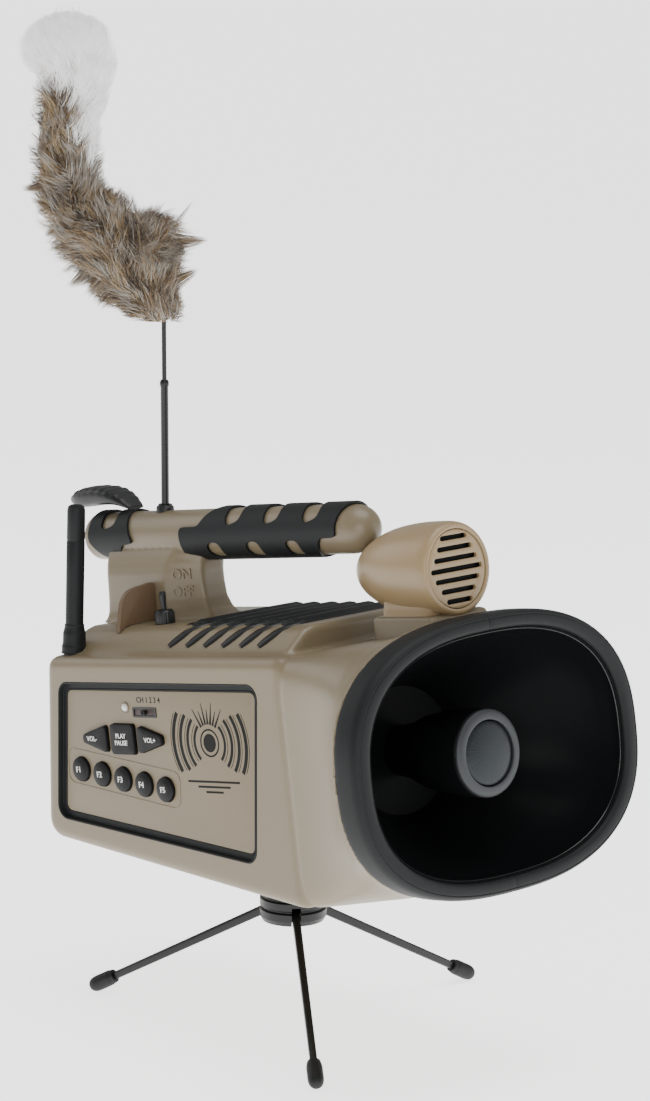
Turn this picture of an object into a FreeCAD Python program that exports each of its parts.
import FreeCAD, Part
import math
import os
import Sketcher

# Battery-powered electronic game caller: a horn speaker and a bullet tweeter on a
# carrying-handle housing, a keypad on the left side, a spinning fur decoy and a mini tripod.
# Millimetres. +Z is up and the horn faces -Y.
# The upper works tilt nose-up: pieces drawn in the "tilted" frame have their origin at the
# middle of the horn mouth and their +Y along the horn axis towards the rear.

DIMENSIONS = {
    # Placing
    "hub_x": -11.7, "hub_y": -5.5, "mouth_back": -181, "mouth_height": 204, "nose_up": 9,
    # Housing box, in the tilted side view
    "box_width": 156, "wall": 3, "corner_radius": 7,
    "box_front": 100.3, "shoulder": 68, "rear_top": 320, "rear_low": 338.6,
    "rear_low_level": -47.6, "front_low_level": -85.4, "rear_face": 146, "base_level": 104,
    # Deck and its vents
    "deck_front": 104, "deck_rear": 316, "deck_top": 83, "deck_foot_half": 73,
    "deck_knee_half": 60, "deck_knee": 73, "deck_top_half": 47,
    "vent_count": 6, "vent_pitch": 16.7, "vent_first": 123, "vent_width": 8,
    # Control panel
    "gasket_width": 5.6, "panel_depth": 3.3, "panel_top": 52, "panel_front_top": 121,
    "panel_front_low": 139, "panel_front_foot": -58.7, "panel_rear_top": 311,
    "panel_rear_low": 326.6, "panel_rear_foot": -35.1, "panel_thickness": 2.5,
    "key_gap": 0.3, "key_proud": 3.3, "key_length": 4.8, "key_radius": 7.8,
    "volume_row": 16, "volume_down_y": 281.7, "play_y": 254.7, "volume_up_y": 228.3,
    "volume_long": 23, "volume_tall": 18, "play_long": 22.4, "play_tall": 19,
    "function_first_y": 299.9, "function_first_z": -4, "function_step_y": -20.1,
    "function_step_z": -2.7, "switch_y": 232.6, "switch_z": 33, "led_y": 251,
    # Horn
    "rim_half_width": 118, "rim_half_height": 83, "rim_depth": 16, "mouth_half_width": 101,
    "mouth_half_height": 69, "bell_depth": 85, "bullet_radius": 26.5, "bullet_front": 10,
    "cap_radius": 19, "magnet_radius": 38, "magnet_length": 26,
    # Tweeter
    "tweeter_level": 110, "tweeter_front": 20, "tweeter_radius": 28.5, "grille_radius": 23.3,
    "grille_slot": 2.8, "grille_pitch": 6.3,
    # Handle
    "bar_level": 135.5, "bar_radius": 15.3, "bar_front": 88, "bar_rear": 347,
    "grip_radius": 17, "grip_front_start": 112, "grip_front_end": 245,
    "grip_rear_start": 306, "grip_rear_end": 343, "post_width": 40,
    "tab_width": 22,
    # Switch
    "toggle_x": -35, "toggle_y": 251, "toggle_radius": 2.2, "nut_radius": 6.2,
    # Decoy
    "decoy_y": 120, "motor_radius": 11, "motor_foot": 250, "motor_top": 288,
    "socket_radius": 6, "socket_foot": 292, "socket_top": 313,
    "rod_foot": 298, "rod_step": 393, "rod_radius": 2.5, "tip_radius": 1.5,
    "tip_foot": 340, "tip_top": 434, "rod_fit": 0.06,
    # Antenna
    "antenna_x": -65, "antenna_y": 134, "antenna_foot": 223.5, "antenna_collar": 19,
    "antenna_length": 95, "antenna_radius": 5.3, "collar_radius": 7.3,
    # Tripod
    "hub_radius": 21, "hub_foot": 65, "pivot_radius": 15, "pivot_level": 71.5,
    "leg_reach": 138, "leg_width": 6.4, "leg_thickness": 5, "leg_gap": 0.35,
    "pin_radius": 1.5, "pin_fit": 0.05, "foot_radius": 5, "foot_length": 20,
    "stud_radius": 3.1, "stud_length": 11, "boss_radius": 9, "boss_fit": 0.06,
    # Rear face and inner pieces
    "door_width": 96, "door_height": 68, "door_level": 126, "door_thickness": 2.5,
    "jack_radius": 5, "jack_bore": 1.8, "jack_length": 15, "jack_x": 62, "jack_level": 134,
    "jack_pitch": 22,
}

LEG_BEARINGS = (-127, -7, 113)

doc = FreeCAD.newDocument("game_caller")
sheet = doc.addObject("Spreadsheet::Sheet", "dims")
for row, (alias, size) in enumerate(DIMENSIONS.items(), start=1):
    sheet.set("A%d" % row, alias)
    sheet.set("B%d" % row, str(size))
    sheet.setAlias("B%d" % row, alias)
doc.recompute()

nodes = []


def size(alias):
    return float(getattr(sheet, alias))


def vec(x, y, z):
    return FreeCAD.Vector(x, y, z)


def ground():
    """Frame of the tripod: on the ground under the hub."""
    return FreeCAD.Placement(vec(size("hub_x"), size("hub_y"), 0), FreeCAD.Rotation())


def tilted():
    """Frame of the horn: middle of the mouth, +Y back along the horn axis."""
    centre = vec(size("hub_x"), size("hub_y") + size("mouth_back"), size("mouth_height"))
    return FreeCAD.Placement(centre, FreeCAD.Rotation(vec(1, 0, 0), -size("nose_up")))


def moved(frame, x, y, z):
    return frame.multiply(FreeCAD.Placement(vec(x, y, z), FreeCAD.Rotation()))


def number(expression):
    return float(sheet.evalExpression(str(expression)))


def bound(thing, **expressions):
    for prop, expression in expressions.items():
        thing.setExpression(prop, expression)
    return thing


def node(thing, label, frame=None):
    """Registers a finished piece under its own name and frame."""
    thing.Label = label
    if frame is not None:
        thing.Placement = frame
    nodes.append(thing)
    return thing


def new_body(name):
    return doc.addObject("PartDesign::Body", name)


def plane_of(body, role):
    return next(f for f in body.Origin.OriginFeatures if f.Role == role)


def outline(body, role, corners, start="0"):
    """Closed straight-sided sketch; every corner is a pair of sheet expressions."""
    sketch = body.newObject("Sketcher::SketchObject", body.Name + "_outline")
    sketch.AttachmentSupport = [(plane_of(body, role), "")]
    sketch.MapMode = "FlatFace"
    sketch.setExpression("AttachmentOffset.Base.z", str(start))
    points = [vec(number(u), number(v), 0) for u, v in corners]
    count = len(points)
    for i in range(count):
        sketch.addGeometry(Part.LineSegment(points[i], points[(i + 1) % count]), False)
    for i in range(count):
        sketch.addConstraint(Sketcher.Constraint("Coincident", i, 2, (i + 1) % count, 1))
    for i, (u, v) in enumerate(corners):
        for kind, expression in (("DistanceX", u), ("DistanceY", v)):
            here = sketch.addConstraint(
                Sketcher.Constraint(kind, -1, 1, i, 1, number(expression)))
            sketch.setExpression("Constraints[%d]" % here, str(expression))
    return sketch


def prism(name, role, corners, depth, start="0", symmetric=False):
    """Body padded from a straight-sided outline, normal to one of its base planes."""
    body = new_body(name)
    sketch = outline(body, role, corners, start)
    pad = body.newObject("PartDesign::Pad", name + "_pad")
    pad.Profile = sketch
    pad.Midplane = symmetric
    bound(pad, Length=str(depth))
    doc.recompute()
    return body


def turned(name, corners, axis="H_Axis"):
    """Body of revolution about its own Y axis (H_Axis) or Z axis (V_Axis)."""
    body = new_body(name)
    sketch = outline(body, "YZ_Plane", corners)
    spin = body.newObject("PartDesign::Revolution", name + "_turn")
    spin.Profile = sketch
    spin.ReferenceAxis = (sketch, [axis])
    spin.Angle = 360
    doc.recompute()
    return body


def rounded(body, radius, chosen):
    """Fillets the edges of the body that the test picks."""
    tip = body.Tip
    names = ["Edge%d" % (i + 1) for i, edge in enumerate(tip.Shape.Edges) if chosen(edge)]
    fillet = body.newObject("PartDesign::Fillet", body.Name + "_round")
    fillet.Base = (tip, names)
    bound(fillet, Radius=str(radius))
    doc.recompute()
    return body


def along_x(edge):
    line = edge.Vertexes[-1].Point - edge.Vertexes[0].Point
    return line.Length > 0.01 and abs(line.x) / line.Length > 0.99


def on_side(edge):
    """Edge that lies in one of the two side faces."""
    xs = [abs(v.Point.x) for v in edge.Vertexes]
    return min(xs) > size("box_width") / 2 - 0.01


def block(name, length, width, height):
    box = doc.addObject("Part::Box", name)
    return bound(box, Length=str(length), Width=str(width), Height=str(height))


def rod(name, radius, height):
    return bound(doc.addObject("Part::Cylinder", name), Radius=str(radius), Height=str(height))


def cut(name, base, tool):
    result = doc.addObject("Part::Cut", name)
    result.Base = base
    result.Tool = tool
    doc.recompute()
    return result


def fuse(name, *pieces):
    result = doc.addObject("Part::MultiFuse", name)
    result.Shapes = list(pieces)
    doc.recompute()
    return result


def laid_back(thing, x, y, z):
    """Turns a cylinder to lie along +Y, starting at the point given."""
    thing.Placement = FreeCAD.Placement(vec(x, y, z), FreeCAD.Rotation(vec(1, 0, 0), -90))
    return thing


def superellipse(half_width, half_height, power, centre, y):
    """Closed smooth wire in the plane y, between an ellipse and a rounded rectangle."""
    points = []
    for i in range(48):
        a = 2 * math.pi * i / 48
        c, s = math.cos(a), math.sin(a)
        reach = (abs(c / half_width) ** power + abs(s / half_height) ** power) ** (-1 / power)
        points.append(vec(reach * c, y, centre + reach * s))
    curve = Part.BSplineCurve()
    curve.interpolate(points, PeriodicFlag=True)
    return Part.Wire([curve.toShape()])


def stack(sections):
    """Solid skin over superellipse sections given as (y, half_w, half_h, power, centre)."""
    wires = [superellipse(w, h, p, c, y) for y, w, h, p, c in sections]
    return Part.makeLoft(wires, True, False)


def computed(label, shape, frame):
    thing = doc.addObject("Part::Feature", label + "_solid")
    thing.Shape = shape
    return node(thing, label, frame)


# ---------------------------------------------------------------- housing


def side_outline(inset):
    """Corners of the housing's side view, drawn in by a wall thickness."""
    back = "%g" % (1.13 * inset)
    return [
        ("dims.box_front - %s" % (0 if inset == 0 else 2), "dims.shoulder - %g" % inset),
        ("dims.rear_top - %g" % (0.9 * inset), "dims.shoulder - %g" % inset),
        ("dims.rear_low - %s" % back, "dims.rear_low_level + %s" % back),
        ("dims.box_front - %s" % (0 if inset == 0 else 2), "dims.front_low_level + %g" % inset),
    ]


def panel_outline(inset):
    """Corners of the panel ring; inset 1 is the inner edge of the gasket."""
    w = "dims.gasket_width * %g" % inset
    return [
        ("dims.panel_front_top + 1.18 * %s" % w, "dims.panel_top - %s" % w),
        ("dims.panel_rear_top - 0.84 * %s" % w, "dims.panel_top - %s" % w),
        ("dims.panel_rear_low - 1.17 * %s" % w, "dims.panel_rear_foot + 0.86 * %s" % w),
        ("dims.panel_front_low + 0.83 * %s" % w, "dims.panel_front_foot + 1.11 * %s" % w),
    ]


def from_ground(thing, x, y, z, turn=None):
    """Puts a cutting tool at a ground-frame point, seen from the tilted frame."""
    here = FreeCAD.Placement(vec(x, y, z), turn or FreeCAD.Rotation())
    thing.Placement = tilted().inverse().multiply(ground()).multiply(here)
    return thing


def make_housing():
    outer = prism("housing_outer", "YZ_Plane", side_outline(0), "dims.box_width", symmetric=True)
    rounded(outer, "dims.corner_radius", lambda e: on_side(e) and e.BoundBox.YMax > 105)
    inner = prism("housing_room", "YZ_Plane", side_outline(size("wall")),
                  "dims.box_width - 2 * dims.wall", symmetric=True)
    window = prism("panel_window", "YZ_Plane", panel_outline(0), "12", "-80")
    rounded(window, "9", along_x)
    hatch = block("hatch_hole", "dims.door_width - 14", "16", "dims.door_height - 14")
    from_ground(hatch, -size("door_width") / 2 + 7, size("rear_face") - 8,
                size("door_level") + 7)
    lying = FreeCAD.Rotation(vec(1, 0, 0), -90)
    holes = []
    for i in range(2):
        hole = rod("jack_hole_%d" % i, "dims.jack_radius", "20")
        from_ground(hole, size("jack_x"), size("rear_face") - 10,
                    size("jack_level") + i * size("jack_pitch"), lying)
        holes.append(hole)
    thread = rod("thread_hole", "dims.stud_radius + 0.4", "12")
    from_ground(thread, 0, 0, size("base_level") - 4)
    tools = fuse("housing_tools", inner, window, hatch, thread, *holes)
    node(cut("housing_cut", outer, tools), "housing", tilted())


def deck_outline(inset):
    return [
        ("-dims.deck_foot_half + %g" % (3 * inset), "dims.shoulder + 0.1"),
        ("-dims.deck_knee_half + %g" % inset, "dims.deck_knee - %g" % (0.5 * inset)),
        ("-dims.deck_top_half + %g" % (0.4 * inset), "dims.deck_top - %g" % inset),
        ("dims.deck_top_half - %g" % (0.4 * inset), "dims.deck_top - %g" % inset),
        ("dims.deck_knee_half - %g" % inset, "dims.deck_knee - %g" % (0.5 * inset)),
        ("dims.deck_foot_half - %g" % (3 * inset), "dims.shoulder + 0.1"),
    ]


def make_deck():
    outer = prism("deck_outer", "XZ_Plane", deck_outline(0),
                  "dims.deck_rear - dims.deck_front", "-dims.deck_rear")
    inner = prism("deck_room", "XZ_Plane", deck_outline(3),
                  "dims.deck_rear - dims.deck_front - 6", "3 - dims.deck_rear")
    node(cut("deck_cut", outer, inner), "top_deck", tilted())


def make_vents():
    """Rubber vent insert: a thin plate with ribs that run over both slopes of the deck."""
    body = prism("vent_insert", "XZ_Plane",
                 [("-44", "dims.deck_top + 0.05"), ("44", "dims.deck_top + 0.05"),
                  ("44", "dims.deck_top + 0.9"), ("-44", "dims.deck_top + 0.9")],
                 "dims.vent_count * dims.vent_pitch + 10",
                 "-dims.vent_first - dims.vent_count * dims.vent_pitch - 4")
    rib = outline(body, "XZ_Plane",
                  [("-58", "74.65"), ("-47", "dims.deck_top + 0.15"),
                   ("47", "dims.deck_top + 0.15"), ("58", "74.65"), ("59", "75.9"),
                   ("47.6", "dims.deck_top + 2.6"), ("-47.6", "dims.deck_top + 2.6"),
                   ("-59", "75.9")],
                  "-dims.vent_first - dims.vent_width")
    pad = body.newObject("PartDesign::Pad", "vent_rib")
    pad.Profile = rib
    bound(pad, Length="dims.vent_width")
    doc.recompute()
    row = body.newObject("PartDesign::LinearPattern", "vent_row")
    row.Originals = [pad]
    row.Direction = (plane_of(body, "Y_Axis"), [""])
    bound(row, Occurrences="dims.vent_count",
          Length="(dims.vent_count - 1) * dims.vent_pitch")
    body.Tip = row
    doc.recompute()
    node(body, "vent_ribs", tilted())


# ---------------------------------------------------------------- horn

FLARE = ((100, 78, 76.7, 12, -8.7), (70, 82, 77, 7, -6), (40, 95, 77.8, 4, -3),
         (22, 110, 79.3, 2.8, 0), (16.3, 116.4, 81.4, 2.5, 0))
BELL = ((16.3, 98.3, 66.3, 2.5, 0), (35, 84, 58, 2.5, 0), (60, 60, 47, 2.3, 0),
        (85, 42, 40, 2, 0))


def grown(sections, by, front=0, back=0):
    """The same sections made larger all round, with the end planes pushed out."""
    last = len(sections) - 1
    result = []
    for i, (y, w, h, p, c) in enumerate(sections):
        shift = (back if y == max(s[0] for s in sections) else 0) if i in (0, last) else 0
        if i in (0, last) and y == min(s[0] for s in sections):
            shift = -front
        result.append((y + shift, w + by, h + by, p, c))
    return result


def make_flare():
    outer = stack(FLARE)
    inner = stack(grown(FLARE, -3, 1, 1))
    computed("horn_flare", outer.cut(inner), tilted())
    return outer


def make_bezel():
    w, h, d = size("rim_half_width"), size("rim_half_height"), size("rim_depth")
    mw, mh = size("mouth_half_width"), size("mouth_half_height")
    outer = stack([(-2, w - 3, h - 3, 2.5, 0), (2, w, h, 2.5, 0), (d, w, h, 2.5, 0)])
    inner = stack([(-3, mw + 1, mh + 1, 2.5, 0), (d / 2, mw - 1, mh - 1, 2.5, 0),
                   (d + 1, mw - 3, mh - 3, 2.5, 0)])
    ring = outer.cut(inner)
    half = Part.makeBox(2 * w, 4 * d, 3 * h)
    for label, x in (("bezel_left", -2 * w), ("bezel_right", 0)):
        side = half.translated(vec(x, -2 * d, -1.5 * h))
        computed(label, ring.common(side), tilted())


def make_bell():
    skin = stack(grown(BELL, 3, 0, 0)).cut(stack(grown(BELL, 0, 1, 1)))
    flange = stack([(16.3, 107.5, 74.8, 2.5, 0), (19.3, 107.5, 74.8, 2.5, 0)])
    flange = flange.cut(stack([(15, 98.3, 66.3, 2.5, 0), (21, 98.3, 66.3, 2.5, 0)]))
    depth = size("bell_depth")
    plate = Part.makeCylinder(45, 3, vec(0, depth + 0.05, 0), vec(0, 1, 0))
    plate = plate.cut(Part.makeCylinder(12, 9, vec(0, depth - 3, 0), vec(0, 1, 0)))
    computed("horn_bell", skin.fuse(flange).fuse(plate), tilted())


def make_driver():
    """Re-entrant bullet in the middle of the horn, with its ring, cap and magnet."""
    bullet = turned("bullet_body", [
        ("dims.bullet_front + 2", "0"), ("dims.bullet_front + 2", "dims.bullet_radius"),
        ("40", "dims.bullet_radius - 1"), ("dims.bell_depth - 18", "18"),
        ("dims.bell_depth", "15"), ("dims.bell_depth", "0")])
    node(bullet, "horn_bullet", tilted())
    ring = turned("ring_body", [
        ("dims.bullet_front - 1", "dims.cap_radius + 1"), ("dims.bullet_front - 1", "24"),
        ("dims.bullet_front + 0.5", "dims.bullet_radius - 0.3"),
        ("dims.bullet_front + 1.95", "dims.bullet_radius - 0.3"),
        ("dims.bullet_front + 1.95", "dims.cap_radius + 0.05")])
    node(ring, "driver_ring", tilted())
    cap = turned("cap_body", [
        ("dims.bullet_front - 1.2", "0"), ("dims.bullet_front - 0.6", "8"),
        ("dims.bullet_front + 1", "dims.cap_radius - 1"),
        ("dims.bullet_front + 1.95", "dims.cap_radius"), ("dims.bullet_front + 1.95", "0")])
    node(cap, "driver_cap", tilted())
    magnet = turned("magnet_body", [
        ("dims.bell_depth + 3.1", "0"), ("dims.bell_depth + 3.1", "dims.magnet_radius - 6"),
        ("dims.bell_depth + 9", "dims.magnet_radius"),
        ("dims.bell_depth + dims.magnet_length", "dims.magnet_radius"),
        ("dims.bell_depth + dims.magnet_length + 5", "dims.magnet_radius - 14"),
        ("dims.bell_depth + dims.magnet_length + 5", "0")])
    node(magnet, "driver_magnet", tilted())


# ---------------------------------------------------------------- tweeter


def make_tweeter(flare):
    here = moved(tilted(), 0, 0, size("tweeter_level"))
    shell = turned("tweeter_body", [
        ("dims.tweeter_front", "dims.grille_radius + 0.1"),
        ("dims.tweeter_front", "dims.tweeter_radius - 3"),
        ("dims.tweeter_front + 2", "dims.tweeter_radius - 0.9"),
        ("dims.tweeter_front + 7", "dims.tweeter_radius"),
        ("dims.tweeter_front + 25", "dims.tweeter_radius - 0.5"), ("60", "26"),
        ("75", "22"), ("88", "15.5"), ("96", "9"), ("100", "4"), ("101", "0"),
        ("97", "0"), ("88", "10"), ("75", "17.5"), ("60", "21.5"),
        ("dims.tweeter_front + 25", "dims.grille_radius + 0.1")])
    node(shell, "tweeter_shell", here)
    plate = turned("grille_body", [
        ("dims.tweeter_front + 1", "0"), ("dims.tweeter_front + 2", "dims.grille_radius"),
        ("dims.tweeter_front + 4", "dims.grille_radius"), ("dims.tweeter_front + 3.4", "0")])
    bars = []
    for i, length in enumerate((20, 26, 32, 38, 32, 26, 20)):
        bar = block("grille_slot_%d" % i, length, "10", "dims.grille_slot")
        level = (3 - i) * size("grille_pitch") - size("grille_slot") / 2
        bar.Placement.Base = vec(-length / 2, size("tweeter_front") - 2, level)
        bars.append(bar)
    node(cut("grille_cut", plate, fuse("grille_slots", *bars)), "tweeter_grille", here)
    driver = turned("tweeter_driver_body", [
        ("dims.tweeter_front + 5", "0"), ("dims.tweeter_front + 8", "12"),
        ("dims.tweeter_front + 8", "22"), ("dims.tweeter_front + 12", "22"),
        ("dims.tweeter_front + 14", "16"), ("60", "16"), ("60", "0")])
    node(driver, "tweeter_driver", here)
    neck = block("neck_block", "40", "42", "10")
    neck.Placement.Base = vec(-20, 27, size("deck_top") + 0.2)
    base = block("base_block", "48", "51", "19")
    base.Placement.Base = vec(-24, 22, size("deck_top") - 18.8)
    away = doc.addObject("Part::Feature", "pedestal_clearance")
    bulb = shell.Shape.copy()
    bulb.Placement = FreeCAD.Placement(vec(0, 0, size("tweeter_level")), FreeCAD.Rotation())
    core = Part.makeCylinder(22.6, 60, vec(0, 25, size("tweeter_level")), vec(0, 1, 0))
    away.Shape = flare.fuse(bulb).fuse(core)
    pedestal = cut("pedestal_cut", fuse("pedestal_blocks", neck, base), away)
    node(pedestal, "tweeter_pedestal", tilted())


# ---------------------------------------------------------------- control panel


def make_panel():
    face = "-dims.box_width / 2 + dims.panel_depth"
    outer = prism("gasket_outer", "YZ_Plane", panel_outline(0), "5.8", "-dims.box_width / 2")
    rounded(outer, "8.8", along_x)
    room = prism("gasket_room", "YZ_Plane", panel_outline(0.25), "dims.panel_depth",
                 "-dims.box_width / 2")
    rounded(room, "7.6", along_x)
    hole = prism("gasket_hole", "YZ_Plane", panel_outline(1), "12", "-dims.box_width / 2 - 3")
    rounded(hole, "5", along_x)
    node(cut("gasket_cut", outer, fuse("gasket_tools", room, hole)), "panel_gasket", tilted())
    plate = prism("panel_plate", "YZ_Plane", panel_outline(1.01), "dims.panel_thickness", face)
    rounded(plate, "4.9", along_x)
    tools = [key_solid(name, y, z, kind, "dims.key_gap", "30")
             for name, y, z, kind in key_list()]
    node(cut("panel_cut", plate, fuse("panel_holes", *tools)), "control_panel", tilted())


def key_list():
    row = size("volume_row")
    keys = [("volume_down_button", size("volume_down_y"), row, "rear"),
            ("play_pause_button", size("play_y"), row, "square"),
            ("volume_up_button", size("volume_up_y"), row, "front")]
    for i in range(5):
        y = size("function_first_y") + i * size("function_step_y")
        z = size("function_first_z") + i * size("function_step_z")
        keys.append(("function_button_%d" % (i + 1), y, z, "round"))
    return keys


def key_corners(kind, gap):
    if kind == "square":
        half, tall = "dims.play_long / 2 + %s" % gap, "dims.play_tall / 2 + %s" % gap
        return [("-(%s)" % half, "-(%s)" % tall), (half, "-(%s)" % tall),
                (half, tall), ("-(%s)" % half, tall)]
    tall, nose = "dims.volume_tall / 2 + %s" % gap, "2.5 + %s" % gap
    half = "dims.volume_long / 2 + %s" % gap
    if kind == "rear":
        return [("-(%s)" % half, "-(%s)" % tall), (half, "-(%s)" % nose), (half, nose),
                ("-(%s)" % half, tall)]
    return [("-(%s)" % half, "-(%s)" % nose), (half, "-(%s)" % tall), (half, tall),
            ("-(%s)" % half, nose)]


def key_solid(name, y, z, kind, gap, length):
    """Key, or with a gap and more length its hole, lying along X at its place."""
    tag = name + ("_hole" if gap != "0" else "_key")
    start = "-dims.box_width / 2 + dims.panel_depth - dims.key_proud"
    if gap != "0":
        start = "-dims.box_width / 2 - 5"
    if kind == "round":
        thing = rod(tag, "dims.key_radius + %s" % gap, length)
        thing.Placement = FreeCAD.Placement(vec(number(start), y, z),
                                            FreeCAD.Rotation(vec(0, 1, 0), 90))
        return thing
    body = prism(tag, "YZ_Plane", key_corners(kind, gap), length, start)
    rounded(body, "2.2", along_x)
    body.Placement.Base = vec(0, y, z)
    return body


def make_keys():
    for name, y, z, kind in key_list():
        thing = key_solid(name, y, z, kind, "0", "dims.key_length")
        node(thing, name, tilted().multiply(thing.Placement))


def make_channel_switch():
    here = moved(tilted(), -size("box_width") / 2 + size("panel_depth") - 0.9,
                 size("switch_y"), size("switch_z"))
    frame = block("channel_frame", "0.85", "24", "7")
    frame.Placement.Base = vec(0, -12, -3.5)
    slot = block("channel_slot", "3", "19", "3.6")
    slot.Placement.Base = vec(-1, -9.5, -1.8)
    node(cut("channel_cut", frame, slot), "channel_switch_frame", here)
    knob = prism("channel_knob", "YZ_Plane",
                 [("-2.3", "-1.5"), ("2.3", "-1.5"), ("2.3", "1.5"), ("-2.3", "1.5")],
                 "2.2", "-1.5")
    node(knob, "channel_slider", here)
    lens = turned("led_lens", [("-1.9", "0"), ("-1.3", "1.6"), ("-0.05", "2.5"), ("-0.05", "0")])
    level = size("switch_z") + 3
    side = FreeCAD.Placement(vec(-size("box_width") / 2 + size("panel_depth"),
                                 size("led_y"), level), FreeCAD.Rotation(vec(0, 0, 1), -90))
    node(lens, "status_led", tilted().multiply(side))


# ---------------------------------------------------------------- handle


def make_handle():
    bar = turned("bar_body", [
        ("dims.bar_front", "0"), ("dims.bar_front + 1", "5"), ("dims.bar_front + 4", "9.5"),
        ("dims.bar_front + 9", "13"), ("dims.bar_front + 16", "dims.bar_radius"),
        ("dims.bar_rear - 2", "dims.bar_radius"), ("dims.bar_rear", "dims.bar_radius - 2"),
        ("dims.bar_rear", "0")])
    bar.Placement.Base = vec(0, 0, size("bar_level"))
    post = prism("post_body", "YZ_Plane",
                 [("324", "dims.deck_top + 0.1"), ("317", "132"), ("231", "134"),
                  ("236", "dims.deck_top + 0.1")], "dims.post_width", symmetric=True)
    rounded(post, "7", lambda e: abs(e.Vertexes[0].Point.x - e.Vertexes[-1].Point.x) < 0.01
            and abs(e.Vertexes[0].Point.z - e.Vertexes[-1].Point.z) > 20)
    flanks = [prism("post_flank_%d" % i, "XY_Plane",
                    [("%d" % (20 * side), "268"), ("%d" % (30 * side), "268"),
                     ("%d" % (30 * side), "225"), ("%g" % (4.1 * side), "225")], "70", "75")
              for i, side in enumerate((-1, 1))]
    post = cut("post_tapered", post, fuse("post_flanks", *flanks))
    relief = rod("post_relief", "70", "dims.post_width + 20")
    relief.Placement = FreeCAD.Placement(vec(-30, 171, 108), FreeCAD.Rotation(vec(0, 1, 0), 90))
    motor_bore = rod("motor_bore", "dims.motor_radius + 0.3", "dims.motor_top - 227")
    from_ground(motor_bore, 0, size("decoy_y"), 228)
    socket_bore = rod("socket_bore", "dims.socket_radius + 0.3", "60")
    from_ground(socket_bore, 0, size("decoy_y"), 280)
    whole = fuse("handle_whole", bar, post)
    tools = fuse("handle_tools", relief, motor_bore, socket_bore)
    node(cut("handle_cut", whole, tools), "handle", tilted())
    here = moved(tilted(), 0, 0, size("bar_level"))
    for label, first, last in (("grip_front", "grip_front_start", "grip_front_end"),
                               ("grip_rear", "grip_rear_start", "grip_rear_end")):
        a, b = "dims." + first, "dims." + last
        sleeve = turned(label + "_sleeve", [
            (a, "dims.bar_radius + 0.02"), (a, "dims.grip_radius - 0.6"),
            (a + " + 1.5", "dims.grip_radius"), (b + " - 1.5", "dims.grip_radius"),
            (b, "dims.grip_radius - 0.6"), (b, "dims.bar_radius + 0.02")])
        room = block(label + "_room", "dims.post_width + 2", "94", "27.4")
        room.Placement.Base = vec(-size("post_width") / 2 - 1, 227, -28.2)
        node(cut(label + "_cut", sleeve, room), label, here)
    cap = turned("cap_disc", [
        ("dims.bar_rear + 0.05", "0"), ("dims.bar_rear + 0.05", "dims.bar_radius - 2.2"),
        ("dims.bar_rear + 1.5", "dims.bar_radius - 3.4"), ("dims.bar_rear + 2", "0")])
    node(cap, "handle_end_cap", here)
    tab = prism("tab_body", "YZ_Plane",
                [("309", "153.4"), ("320", "161"), ("330", "166"), ("343", "167.5"),
                 ("362", "164"), ("367", "160"), ("356", "157.5"), ("338", "157"),
                 ("322", "153.4")], "dims.tab_width", symmetric=True)
    node(tab, "socket_cover", tilted())


def make_switch():
    guard = prism("guard_body", "XZ_Plane",
                  [("-20.3", "dims.deck_top + 0.1"), ("-20.3", "107"), ("-40", "105.5"),
                   ("-48", "99"), ("-52.5", "79.3"), ("-47", "dims.deck_top + 0.25")],
                  "3.5", "-279")
    node(guard, "switch_guard", tilted())
    here = moved(tilted(), size("toggle_x"), size("toggle_y"), size("deck_top"))
    nut = turned("nut_body", [
        ("3.8", "0.1"), ("dims.nut_radius", "0.1"), ("dims.nut_radius", "7.6"),
        ("dims.nut_radius - 0.8", "8.6"), ("3.8", "8.6")], "V_Axis")
    node(nut, "toggle_nut", here)
    lever = turned("lever_body", [
        ("0", "1.2"), ("dims.toggle_radius - 0.4", "1.6"), ("dims.toggle_radius", "3"),
        ("dims.toggle_radius - 0.4", "9"), ("dims.toggle_radius + 0.2", "18"),
        ("dims.toggle_radius - 0.8", "20"), ("0", "20.4")], "V_Axis")
    node(lever, "toggle_lever", here)


# ---------------------------------------------------------------- decoy

TAIL = ((0, 434), (3, 440), (9, 450), (17, 463), (25, 477), (38, 488), (50, 500),
        (57, 514), (59, 529), (58, 545), (57, 561), (57, 576), (58, 590), (59, 604),
        (59, 616), (59, 624), (59, 630))
TAIL_RADII = (6, 14, 21, 26, 26, 24.5, 23, 22, 21.5, 21.5, 22.5, 25, 28.5, 30, 26, 18, 7)


def tail_solid():
    """Limp fur brush as one solid: circles along a path that bends away and back up."""
    wires = []
    last = len(TAIL) - 1
    for i, (out, level) in enumerate(TAIL):
        before, after = TAIL[max(i - 1, 0)], TAIL[min(i + 1, last)]
        along = vec(before[0] - after[0], 0, after[1] - before[1])
        along = vec(0, 0, 1) if i == 0 else along
        circle = Part.makeCircle(TAIL_RADII[i], vec(-out, 0, level), along)
        wires.append(Part.Wire([circle]))
    solid = Part.makeLoft(wires, True, False)
    solid.rotate(vec(0, 0, 0), vec(0, 0, 1), -43)
    return solid


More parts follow.
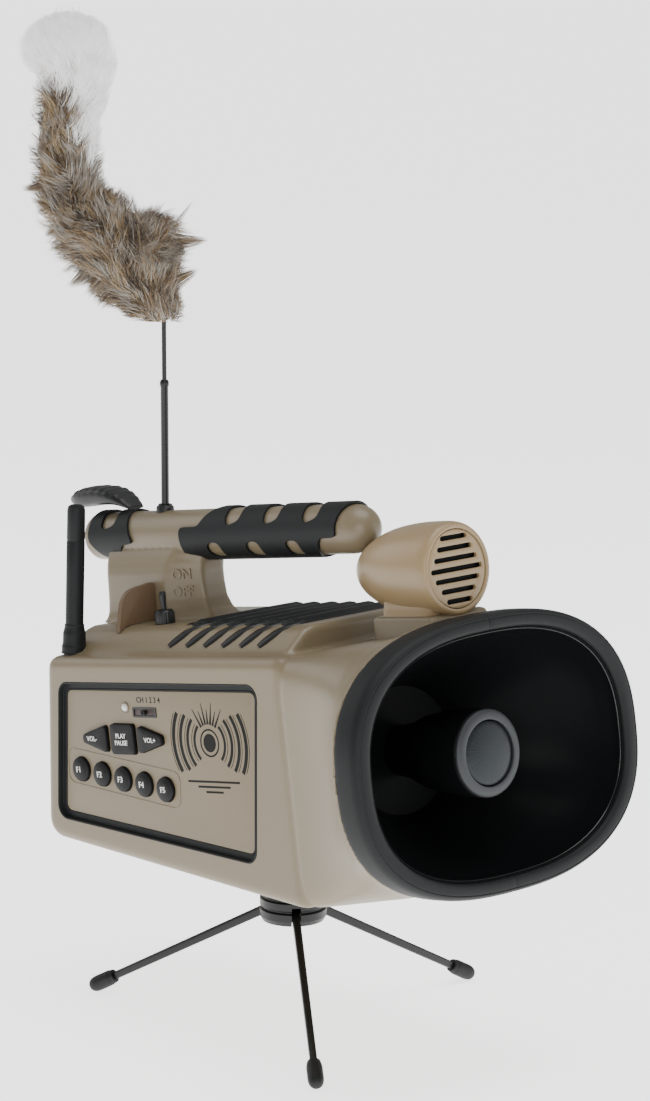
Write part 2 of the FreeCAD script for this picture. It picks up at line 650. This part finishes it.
def make_decoy():
    here = moved(ground(), 0, size("decoy_y"), 0)
    motor = turned("motor_body", [
        ("0", "dims.motor_foot"), ("dims.motor_radius", "dims.motor_foot"),
        ("dims.motor_radius", "dims.motor_top - 2"), ("6", "dims.motor_top"),
        ("0", "dims.motor_top")], "V_Axis")
    node(motor, "decoy_motor", here)
    socket = turned("socket_body", [
        ("0", "dims.socket_foot"), ("dims.socket_radius - 0.2", "dims.socket_foot"),
        ("dims.socket_radius - 0.2", "dims.socket_top - 1"), ("4.6", "dims.socket_top"),
        ("dims.rod_radius + 0.02", "dims.socket_top"),
        ("dims.rod_radius + 0.02", "dims.rod_foot - 0.05"), ("0", "dims.rod_foot - 0.05")],
        "V_Axis")
    node(socket, "decoy_socket", here)
    lower = turned("rod_lower_body", [
        ("0", "dims.rod_foot"), ("dims.rod_radius", "dims.rod_foot"),
        ("dims.rod_radius", "dims.rod_step - 3"),
        ("dims.rod_radius + 0.5", "dims.rod_step - 2"), ("dims.rod_radius", "dims.rod_step"),
        ("dims.tip_radius + dims.rod_fit", "dims.rod_step"),
        ("dims.tip_radius + dims.rod_fit", "dims.rod_foot + 3"), ("0", "dims.rod_foot + 3")],
        "V_Axis")
    node(lower, "rod_lower", here)
    upper = rod("rod_upper_body", "dims.tip_radius", "dims.tip_top - dims.tip_foot")
    node(upper, "rod_upper", moved(here, 0, 0, size("tip_foot")))
    computed("fur_tail", tail_solid(), here)


def make_antenna():
    lean = FreeCAD.Placement(
        vec(size("antenna_x"), size("antenna_y"), size("antenna_foot")),
        FreeCAD.Rotation(vec(0, 1, 0), 2))
    here = ground().multiply(lean)
    base = turned("antenna_base_body", [
        ("0", "0"), ("dims.collar_radius + 0.6", "0"), ("dims.collar_radius", "6"),
        ("dims.collar_radius", "dims.antenna_collar - 5"),
        ("dims.antenna_radius + 0.4", "dims.antenna_collar"), ("0", "dims.antenna_collar")],
        "V_Axis")
    room = prism("antenna_room", "XZ_Plane", deck_outline(-0.5),
                 "dims.deck_rear - dims.deck_front", "-dims.deck_rear")
    away = doc.addObject("Part::Feature", "antenna_clearance")
    away.Shape = room.Shape.fuse(Part.makeBox(100, 120, 40, vec(-120, 210, 28.5)))
    away.Placement = here.inverse().multiply(tilted())
    node(cut("antenna_cut", base, away), "antenna_base", here)
    mast = turned("antenna_mast_body", [
        ("0", "dims.antenna_collar + 0.05"),
        ("dims.antenna_radius", "dims.antenna_collar + 0.05"),
        ("dims.antenna_radius", "dims.antenna_length - 2"),
        ("dims.antenna_radius - 1.5", "dims.antenna_length"), ("0", "dims.antenna_length")],
        "V_Axis")
    node(mast, "antenna_mast", here)


# ---------------------------------------------------------------- tripod


def bearing(angle):
    """Frame that turns the leg's own -Y radially outwards to the bearing, measured from +X."""
    return FreeCAD.Placement(vec(0, 0, 0), FreeCAD.Rotation(vec(0, 0, 1), angle))


def make_hub():
    rings = [("0", "dims.hub_foot")]
    for i in range(5):
        low = 68 + i * 7
        rings += [("dims.hub_radius - 1.6", str(low - 1)), ("dims.hub_radius", str(low)),
                  ("dims.hub_radius", str(low + 4.4)),
                  ("dims.hub_radius - 1.6", str(low + 5.4))]
    rings[1] = ("dims.hub_radius - 1.6", "dims.hub_foot")
    rings += [("dims.hub_radius - 4", "dims.base_level - 0.4"),
              ("dims.hub_radius - 4", "dims.base_level - 0.05"),
              ("0", "dims.base_level - 0.05")]
    disc = turned("hub_disc", rings, "V_Axis")
    tools = []
    for i, angle in enumerate(LEG_BEARINGS):
        slot = block("leg_slot_%d" % i, "24", "dims.leg_thickness + 2 * dims.leg_gap", "17")
        slot.Placement = bearing(angle).multiply(FreeCAD.Placement(
            vec(9.5, -size("leg_thickness") / 2 - size("leg_gap"), size("hub_foot") - 5),
            FreeCAD.Rotation()))
        tools.append(slot)
        hole = rod("pin_hole_%d" % i, "dims.pin_radius + dims.pin_fit", "13.4")
        hole.Placement = bearing(angle).multiply(FreeCAD.Placement(
            vec(size("pivot_radius"), -6.7, size("pivot_level")),
            FreeCAD.Rotation(vec(1, 0, 0), -90)))
        tools.append(hole)
    bore = rod("hub_bore", "dims.stud_radius - 0.02", "16")
    bore.Placement.Base = vec(0, 0, 90)
    node(cut("hub_cut", disc, fuse("hub_tools", bore, *tools)), "tripod_hub", ground())
    stud = rod("stud_body", "dims.stud_radius - 0.05", "dims.stud_length + 13.8")
    node(stud, "tripod_stud", moved(ground(), 0, 0, 90.1))
    boss = turned("boss_body", [
        ("dims.stud_radius + dims.boss_fit", "0"), ("dims.boss_radius", "0"),
        ("dims.boss_radius", "9"), ("dims.stud_radius + dims.boss_fit", "9")], "V_Axis")
    node(boss, "tripod_boss", moved(ground(), 0, 0, size("base_level") + 3.9))


def make_legs():
    drop = size("pivot_level") - 5.26
    reach = size("leg_reach") - size("pivot_radius")
    dip = math.degrees(math.atan2(drop, reach))
    length = math.hypot(drop, reach)
    for i, angle in enumerate(LEG_BEARINGS, start=1):
        out = bearing(angle).multiply(FreeCAD.Placement(
            vec(size("pivot_radius"), 0, size("pivot_level")),
            FreeCAD.Rotation(vec(0, 1, 0), dip)))
        here = ground().multiply(out)
        bar = prism("leg_bar_%d" % i, "XZ_Plane",
                    [("-3.2", "-dims.leg_width / 2"), ("%g" % (length - 14), "-2.6"),
                     ("%g" % (length - 14), "2.6"), ("-3.2", "dims.leg_width / 2")],
                    "dims.leg_thickness", symmetric=True)
        hole = rod("leg_hole_%d" % i, "dims.pin_radius + dims.pin_fit", "12")
        hole.Placement = FreeCAD.Placement(vec(0, -6, 0), FreeCAD.Rotation(vec(1, 0, 0), -90))
        node(cut("leg_cut_%d" % i, bar, hole), "leg_%d" % i, here)
        tip = turned("foot_body_%d" % i, [
            ("0", "0.05"), ("4.2", "0.05"), ("dims.foot_radius", "3"),
            ("dims.foot_radius", "dims.foot_length - 6"), ("3.6", "dims.foot_length - 1.6"),
            ("1.5", "dims.foot_length"), ("0", "dims.foot_length")], "V_Axis")
        end = FreeCAD.Placement(vec(length - 14, 0, 0), FreeCAD.Rotation(vec(0, 1, 0), 90))
        node(tip, "foot_%d" % i, here.multiply(end))


def make_pins():
    pins = []
    for i, angle in enumerate(LEG_BEARINGS):
        pin = rod("pin_%d" % i, "dims.pin_radius", "13")
        across = FreeCAD.Placement(vec(size("pivot_radius"), -6.5, size("pivot_level")),
                                   FreeCAD.Rotation(vec(1, 0, 0), -90))
        pin.Placement = bearing(angle).multiply(across)
        pins.append(pin)
    node(fuse("pin_group", *pins), "leg_pins", ground())


# ---------------------------------------------------------------- rear face and inside


def make_rear():
    door = block("door_plate", "dims.door_width", "dims.door_thickness", "dims.door_height")
    corner = moved(ground(), -size("door_width") / 2, size("rear_face") + 0.6,
                   size("door_level"))
    node(door, "battery_door", corner)
    screws = []
    for sx in (-1, 1):
        for sz in (0.09, 0.91):
            screw = rod("screw_%d_%d" % (sx, sz * 100), "3", "1.4")
            laid_back(screw, sx * (size("door_width") / 2 - 6),
                      size("rear_face") + 0.6 + size("door_thickness") + 0.05,
                      size("door_level") + sz * size("door_height"))
            screws.append(screw)
    node(fuse("screw_group", *screws), "door_screws", ground())
    jacks = []
    for i in range(2):
        level = size("jack_level") + i * size("jack_pitch")
        body = rod("jack_body_%d" % i, "dims.jack_radius - 0.1", "dims.jack_length")
        laid_back(body, size("jack_x"), size("rear_face") - 12, level)
        hole = rod("jack_bore_%d" % i, "dims.jack_bore", "dims.jack_length + 2")
        laid_back(hole, size("jack_x"), size("rear_face") - 10, level)
        jacks.append(cut("jack_cut_%d" % i, body, hole))
    node(fuse("jack_group", *jacks), "accessory_jacks", ground())
    pack = block("battery_block", "84", "100", "62")
    pack.Placement.Base = vec(-30, 205, -42)
    bevelled = doc.addObject("Part::Fillet", "battery_round")
    bevelled.Base = pack
    doc.recompute()
    bevelled.Edges = [(i + 1, 4, 4) for i in range(12)]
    doc.recompute()
    node(bevelled, "battery_pack", tilted())
    board = block("board_plate", "1.6", "130", "74")
    slot = rod("board_notch", "4", "8")
    slot.Placement = FreeCAD.Placement(vec(-2, 0, 74), FreeCAD.Rotation(vec(0, 1, 0), 90))
    node(cut("board_cut", board, slot), "circuit_board",
         moved(tilted(), -66, 185, -26))


def main():
    make_housing()
    make_deck()
    make_vents()
    flare = make_flare()
    make_bezel()
    make_bell()
    make_driver()
    make_tweeter(flare)
    make_panel()
    make_keys()
    make_channel_switch()
    make_handle()
    make_switch()
    make_decoy()
    make_antenna()
    make_hub()
    make_legs()
    make_pins()
    make_rear()
    doc.recompute()
    for thing in doc.Objects:
        if "Invalid" in thing.State or "Error" in thing.State:
            raise RuntimeError("object failed: " + thing.Name)
    for thing in nodes:
        if thing.Shape.isNull() or not thing.Shape.isValid():
            raise RuntimeError("bad shape: " + thing.Label)
    os.makedirs("parts", exist_ok=True)
    for thing in nodes:
        thing.Shape.exportStep("parts/%s.step" % thing.Label)
    print(len(nodes), "nodes")


main()
